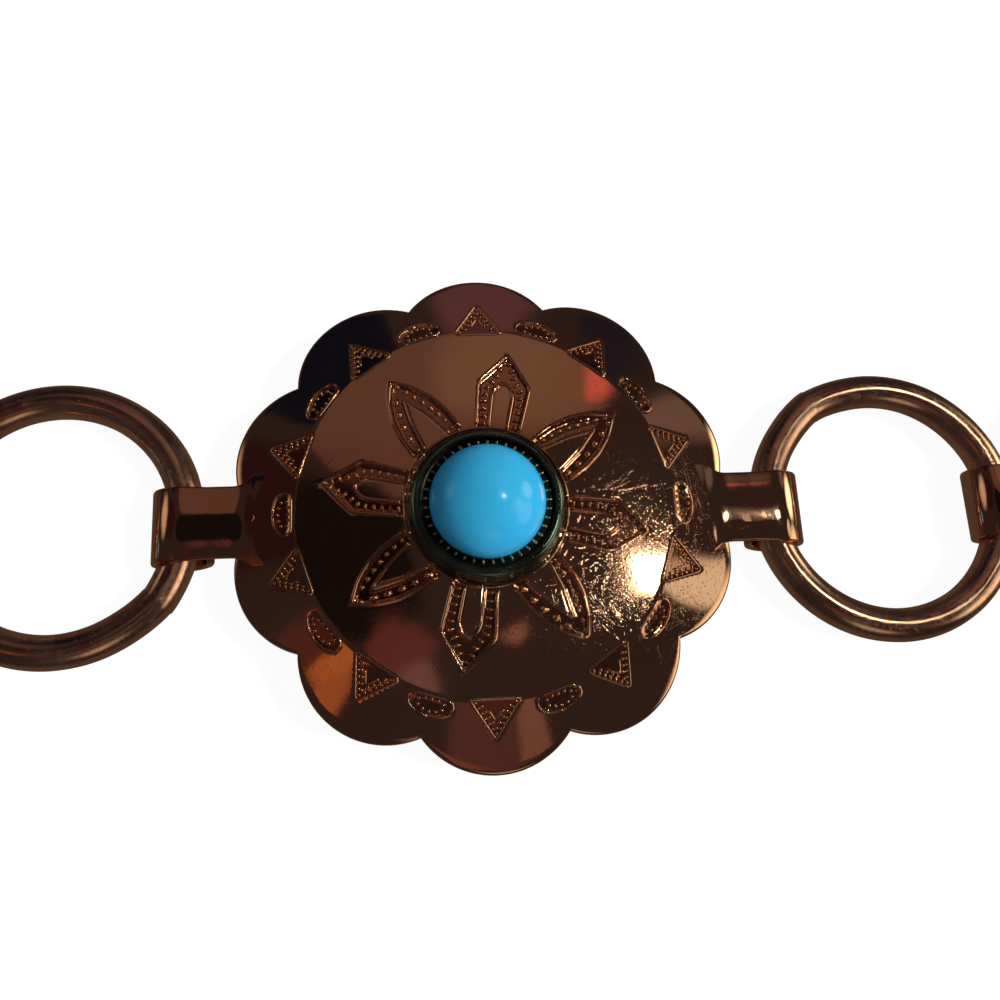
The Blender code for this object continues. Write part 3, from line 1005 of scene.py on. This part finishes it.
def patch_group():
    """Lays a soft-edged patch of colour over a picture of the room, round one direction."""
    group = bpy.data.node_groups.new("room_patch", "ShaderNodeTree")
    inputs = (
        ("Under", "NodeSocketColor"),
        ("Direction", "NodeSocketVector"),
        ("Toward", "NodeSocketVector"),
        ("Color", "NodeSocketColor"),
        ("Outside", "NodeSocketFloat"),
        ("Inside", "NodeSocketFloat"),
    )
    for label, kind in inputs:
        group.interface.new_socket(label, in_out="INPUT", socket_type=kind)
    group.interface.new_socket("Color", in_out="OUTPUT", socket_type="NodeSocketColor")
    start = group.nodes.new("NodeGroupInput")
    end = group.nodes.new("NodeGroupOutput")
    unit = group.nodes.new("ShaderNodeVectorMath")
    unit.operation = "NORMALIZE"
    meet = group.nodes.new("ShaderNodeVectorMath")
    meet.operation = "DOT_PRODUCT"
    fade = group.nodes.new("ShaderNodeMapRange")
    fade.interpolation_type = "SMOOTHSTEP"
    mix = group.nodes.new("ShaderNodeMix")
    mix.data_type = "RGBA"
    link = group.links.new
    link(start.outputs["Toward"], unit.inputs[0])
    link(start.outputs["Direction"], meet.inputs[0])
    link(unit.outputs["Vector"], meet.inputs[1])
    link(meet.outputs["Value"], fade.inputs["Value"])
    link(start.outputs["Outside"], fade.inputs["From Min"])
    link(start.outputs["Inside"], fade.inputs["From Max"])
    link(fade.outputs["Result"], mix.inputs["Factor"])
    link(start.outputs["Under"], mix.inputs["A"])
    link(start.outputs["Color"], mix.inputs["B"])
    link(mix.outputs["Result"], end.inputs["Color"])
    return group


# Columns: direction, half angle in degrees, how soft its edge is in degrees, colour
ROOM = (
    ((0.0, 0.0, -1.0), 75, 12.0, (0.090, 0.058, 0.040)),
    ((0.88, -0.25, 0.40), 15, 5.0, (1.300, 1.050, 0.720)),
    ((-0.62, 0.28, 0.74), 13, 2.0, (0.024, 0.009, 0.012)),
    ((-0.02, 0.56, 0.83), 16.5, 0.5, (0.112, 0.064, 0.047)),
    ((0.16, 0.53, 0.83), 9, 2.5, (0.165, 0.106, 0.075)),
    ((-0.20, 0.18, 0.96), 10, 0.8, (0.008, 0.006, 0.006)),
    ((-0.40, 0.76, 0.55), 13, 1.0, (0.005, 0.006, 0.014)),
    ((0.08, 0.88, 0.48), 9, 2.0, (0.100, 0.050, 0.062)),
    ((0.48, 0.74, 0.47), 7, 1.5, (0.016, 0.014, 0.026)),
    ((0.64, 0.50, 0.58), 6, 2.0, (0.150, 0.110, 0.095)),
    ((-0.11, -0.02, 0.99), 4.6, 0.8, (0.105, 0.038, 0.036)),
    ((-0.05, -0.09, 0.99), 2.4, 0.8, (0.150, 0.082, 0.080)),
    ((0.10, 0.0, 0.995), 2.2, 0.6, (0.220, 0.110, 0.080)),
    ((-0.53, -0.20, 0.82), 6, 1.5, (0.075, 0.028, 0.020)),
    ((-0.46, -0.25, 0.85), 2.8, 0.8, (0.400, 0.140, 0.045)),
    ((-0.45, -0.33, 0.83), 2.8, 0.8, (0.340, 0.120, 0.045)),
    ((0.08, -0.56, 0.82), 9, 1.5, (0.078, 0.038, 0.036)),
    ((0.18, -0.49, 0.85), 3.2, 0.8, (0.170, 0.095, 0.070)),
    ((-0.10, -0.62, 0.78), 5, 2.0, (0.150, 0.055, 0.042)),
    ((0.29, 0.48, 0.83), 1.5, 1.0, (0.600, 0.140, 0.120)),
    ((0.74, -0.02, 0.68), 5.5, 1.0, (0.800, 0.720, 0.560)),
    ((0.37, 0.14, 0.92), 3.5, 2.5, (0.120, 0.095, 0.075)),
    ((0.87, 0.30, 0.39), 10, 5.0, (2.6, 2.2, 1.5)),
    ((-0.84, 0.32, 0.44), 9, 6.0, (0.60, 0.48, 0.32)),
    ((0.12, -0.88, 0.46), 10, 6.0, (0.50, 0.40, 0.27)),
)
LAMP = ((0.394, 0.128, 0.910), 1.9, 0.4, (44.0, 39.0, 30.0))
ROOM_DARK = (0.030, 0.021, 0.020)
# How far noise pushes the patches' edges about
RAGGED = 0.12
# What is seen past the floor, and lights all that doesn't mirror
PALE = (0.92, 0.93, 0.95)
PALE_STRENGTH = 0.13


def build_world():
    """The room's patches for what mirrors, and an even pale light for all else."""
    world = bpy.data.worlds.new("room")
    bpy.context.scene.world = world
    world.use_nodes = True
    tree = world.node_tree
    tree.nodes.clear()
    link = tree.links.new
    spot = tree.nodes.new("ShaderNodeTexCoord")
    ragged = tree.nodes.new("ShaderNodeTexNoise")
    ragged.inputs["Scale"].default_value = 6
    ragged.inputs["Detail"].default_value = 3
    centred = tree.nodes.new("ShaderNodeVectorMath")
    centred.operation = "SUBTRACT"
    centred.inputs[1].default_value = (0.5, 0.5, 0.5)
    less = tree.nodes.new("ShaderNodeVectorMath")
    less.operation = "SCALE"
    less.inputs["Scale"].default_value = RAGGED
    moved = tree.nodes.new("ShaderNodeVectorMath")
    moved.operation = "ADD"
    unit = tree.nodes.new("ShaderNodeVectorMath")
    unit.operation = "NORMALIZE"
    link(spot.outputs["Generated"], ragged.inputs["Vector"])
    link(ragged.outputs["Color"], centred.inputs[0])
    link(centred.outputs["Vector"], less.inputs[0])
    link(less.outputs["Vector"], moved.inputs[0])
    link(spot.outputs["Generated"], moved.inputs[1])
    link(moved.outputs["Vector"], unit.inputs[0])
    group = patch_group()
    under = None
    for toward, half_deg, soft_deg, color in (*ROOM, LAMP):
        patch = tree.nodes.new("ShaderNodeGroup")
        patch.node_tree = group
        patch.inputs["Toward"].default_value = toward
        patch.inputs["Color"].default_value = (*color, 1)
        patch.inputs["Outside"].default_value = math.cos(math.radians(half_deg + soft_deg))
        patch.inputs["Inside"].default_value = math.cos(math.radians(half_deg - soft_deg))
        link(unit.outputs["Vector"], patch.inputs["Direction"])
        if under:
            link(under, patch.inputs["Under"])
        else:
            patch.inputs["Under"].default_value = (*ROOM_DARK, 1)
        under = patch.outputs["Color"]
    room = tree.nodes.new("ShaderNodeBackground")
    link(under, room.inputs["Color"])
    pale = tree.nodes.new("ShaderNodeBackground")
    pale.inputs["Color"].default_value = (*PALE, 1)
    pale.inputs["Strength"].default_value = PALE_STRENGTH
    path = tree.nodes.new("ShaderNodeLightPath")
    pick = tree.nodes.new("ShaderNodeMixShader")
    out = tree.nodes.new("ShaderNodeOutputWorld")
    link(path.outputs["Is Glossy Ray"], pick.inputs["Fac"])
    link(pale.outputs["Background"], pick.inputs[1])
    link(room.outputs["Background"], pick.inputs[2])
    link(pick.outputs["Shader"], out.inputs["Surface"])


def build_floor():
    size = 4.0
    mesh = bpy.data.meshes.new("floor")
    corners = [(-size, -size, 0), (size, -size, 0), (size, size, 0), (-size, size, 0)]
    mesh.from_pydata(corners, [], [(0, 1, 2, 3)])
    floor = bpy.data.objects.new("floor", mesh)
    floor.location.z = -0.05 * MM
    bpy.context.scene.collection.objects.link(floor)
    material = bpy.data.materials.new("pale_floor")
    _, shader = nodes_of(material)
    shader.inputs["Base Color"].default_value = (0.14, 0.14, 0.14, 1)
    shader.inputs["Roughness"].default_value = 0.9
    shader.inputs["Specular IOR Level"].default_value = 0
    shader.inputs["Emission Color"].default_value = (1, 1, 1, 1)
    shader.inputs["Emission Strength"].default_value = 0.95
    mesh.materials.append(material)
    floor.visible_glossy = False


def build_light():
    data = bpy.data.lights.new("soft_window", "AREA")
    data.shape = "DISK"
    data.size = 0.3
    data.energy = 7.5
    data.color = (1.0, 0.96, 0.9)
    light = bpy.data.objects.new("soft_window", data)
    light.location = (0.56, -0.08, 0.54)
    aim = Vector((0, 0, 0)) - light.location
    light.rotation_euler = aim.to_track_quat("-Z", "Y").to_euler()
    light.visible_glossy = False
    bpy.context.scene.collection.objects.link(light)


def build_camera():
    """The photograph's view of the middle plate: from above, a little towards the lower side."""
    data = bpy.data.cameras.new("camera")
    data.lens = CAMERA_LENS
    data.sensor_width = 36
    data.clip_start = 0.005
    data.clip_end = 20
    camera = bpy.data.objects.new("camera", data)
    middle = middle_of(f"bezel_{CONCHO_COUNT // 2 + 1}")
    x, y, z = CAMERA_FROM_PLATE
    camera.location = (middle.x + x, y, PLATE_Z + z)
    camera.rotation_euler = [math.radians(degrees) for degrees in CAMERA_TURN_DEG]
    bpy.context.scene.collection.objects.link(camera)
    bpy.context.scene.camera = camera


def placed(mesh, name, x):
    """A copy of a mesh moved along the belt."""
    copy = mesh.copy()
    copy.name = name
    copy.transform(Matrix.Translation((x, 0, 0)))
    return copy


def main():
    wear = wear_group()
    rose_gold = plating(
        "rose_gold_plating",
        wear,
        ((0.80, 0.46, 0.30), (0.86, 0.56, 0.38)),
        (0.04, 0.08),
        (70, 4200, 1900),
        (0.014 * MM, 0.003 * MM),
        # Painted shade: the stamped hollows of the flower and the rim are tinted this darker brown
        (0.46, 0.20, 0.11),
    )
    ring_gold = plating(
        "ring_plating",
        wear,
        ((0.78, 0.48, 0.34), (0.93, 0.64, 0.46)),
        (0.16, 0.25),
        (240, 3000, 3200),
        (0.006 * MM, 0.004 * MM),
    )
    dark_cup = plating(
        "dark_cup_plating",
        wear,
        ((0.13, 0.20, 0.18), (0.20, 0.30, 0.28)),
        (0.16, 0.26),
        (300, 3000, 900),
        (0.002 * MM, 0.002 * MM),
        # Painted shade: the seat round the stone is tinted near black, at this share
        (0.012, 0.010, 0.008),
        0.95,
    )
    tooth_gold = plating(
        "tooth_plating",
        wear,
        ((0.40, 0.34, 0.18), (0.90, 0.76, 0.46)),
        (0.15, 0.3),
        (500, 3000, 900),
        (0.01 * MM, 0.01 * MM),
    )
    wire = wire_tree()
    beads = bead_tree()
    concho = concho_mesh(wire, beads, rose_gold)
    cup = cup_mesh(dark_cup)
    teeth = teeth_mesh(beads, tooth_gold)
    stone = stone_mesh(turquoise(wear))
    for i in range(1, CONCHO_COUNT + 1):
        x = middle_of(f"bezel_{i}").x
        piece(f"concho_{i}_look", placed(concho, "concho", x), [f"concho_{i}"])
        piece(f"cup_{i}_look", placed(cup, "cup", x), [f"bezel_{i}"])
        piece(f"teeth_{i}_look", placed(teeth, "teeth", x), [f"bezel_{i}"])
        piece(f"stone_{i}_look", placed(stone, "stone", x), [f"stone_{i}"])
    for i in range(1, RING_COUNT + 1):
        x = middle_of(f"ring_{i}").x
        line = ring_line(SEAM_DEGS[i - 1]) + (0, RING_LIES[i % len(RING_LIES)], 0)
        ring = grown([line], wire, Radius=WIRE_R, Sides=WIRE_SIDES, Material=ring_gold)
        piece(f"ring_{i}_look", placed(ring, "ring", x), [f"ring_{i}"])
    piece("hook_look", hook_mesh(rose_gold), ["hook"])
    build_world()
    build_floor()
    build_light()
    build_camera()
    scene = bpy.context.scene
    scene.view_settings.view_transform = "Standard"


main()
